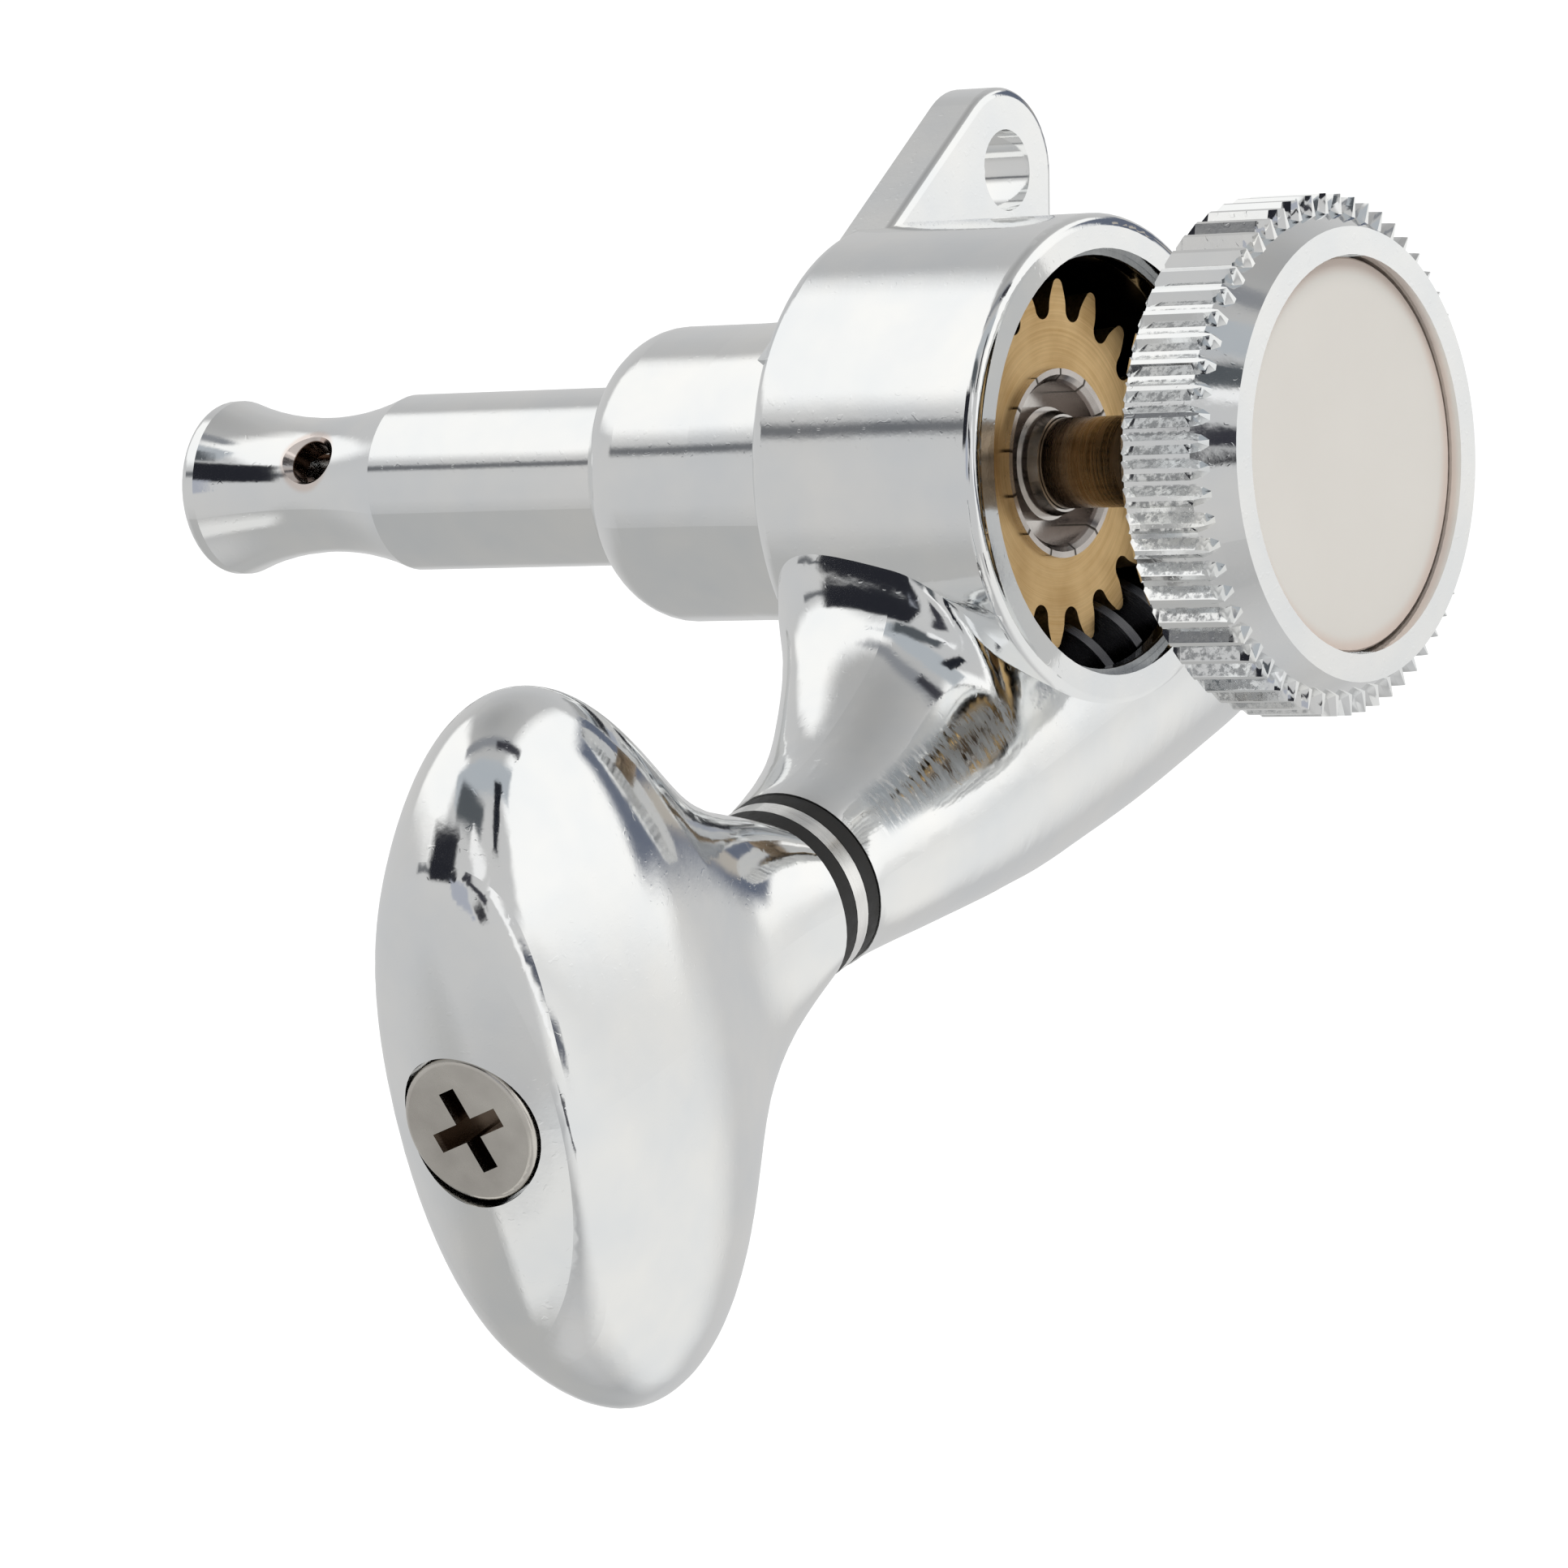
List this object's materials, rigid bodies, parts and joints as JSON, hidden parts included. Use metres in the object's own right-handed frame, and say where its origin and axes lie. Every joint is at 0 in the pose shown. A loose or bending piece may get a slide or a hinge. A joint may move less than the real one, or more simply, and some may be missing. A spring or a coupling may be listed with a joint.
{
  "type": "guitar tuning machine",
  "caption": "Rotary guitar tuning machine with a worm-driven string post, a two-lobed button and a knurled thumbwheel that pushes a pin up the post to lock the string.",
  "frame": {"origin": "post axis where it crosses the face that lies on the back of the headstock", "axes": "+Z along the string post towards its string end, +X along the worm shaft towards the button, +Y up beside the post, away from the worm"},
  "size_m": [0.0461, 0.0294, 0.0458],
  "materials": {
    "chrome": "polished chrome plate with slight casting ripple",
    "nickel": "satin nickel plate",
    "wheel_brass": "turned brass with concentric tool marks",
    "bronze": "sintered bronze",
    "dark_steel": "blackened steel, oiled",
    "brown_steel": "turned steel with a brown oxide tone",
    "steel": "plain steel",
    "black_nylon": "matt black nylon",
    "inlay": "pale satin disc"
  },
  "bodies": {
    "case": {"housing": "chrome", "post_bush": "bronze", "wheel_washer": "steel", "worm_bush": "bronze", "worm_thrust_washer": "steel", "plug_washer": "steel", "worm_plug": "nickel", "inner_friction_washer": "black_nylon", "spacer_washer": "nickel"},
    "post": {"string_post": "chrome", "worm_wheel": "wheel_brass", "lock_bush": "nickel"},
    "worm": {"worm_shaft": "dark_steel", "button": "chrome", "button_screw": "nickel", "outer_friction_washer": "black_nylon"},
    "pin": {"locking_pin": "steel"},
    "knob": {"locking_screw": "brown_steel", "thumbwheel": "chrome", "thumbwheel_inlay": "inlay"}
  },
  "joints": [
    {"name": "worm_spin", "type": "hinge", "parent": "case", "child": "worm", "pos_m": [0, -0.0076, -0.0051], "axis": [1, 0, 0], "continuous": true},
    {"name": "post_spin", "type": "hinge", "parent": "case", "child": "post", "pos_m": [0, 0, 0], "axis": [0, 0, 1], "continuous": true},
    {"name": "lock_slide", "type": "slide", "parent": "post", "child": "pin", "axis": [0, 0, 1], "range_m": [0, 0.0021]},
    {"name": "lock_turn", "type": "hinge", "parent": "pin", "child": "knob", "pos_m": [0, 0, 0], "axis": [0, 0, 1], "range_deg": [0, 1080]}
  ],
  "couplings": [
    {"joint": "post_spin", "follows": "worm_spin", "ratio": -0.055556},
    {"joint": "lock_turn", "follows": "lock_slide", "rad_per_m": 8976}
  ]
}
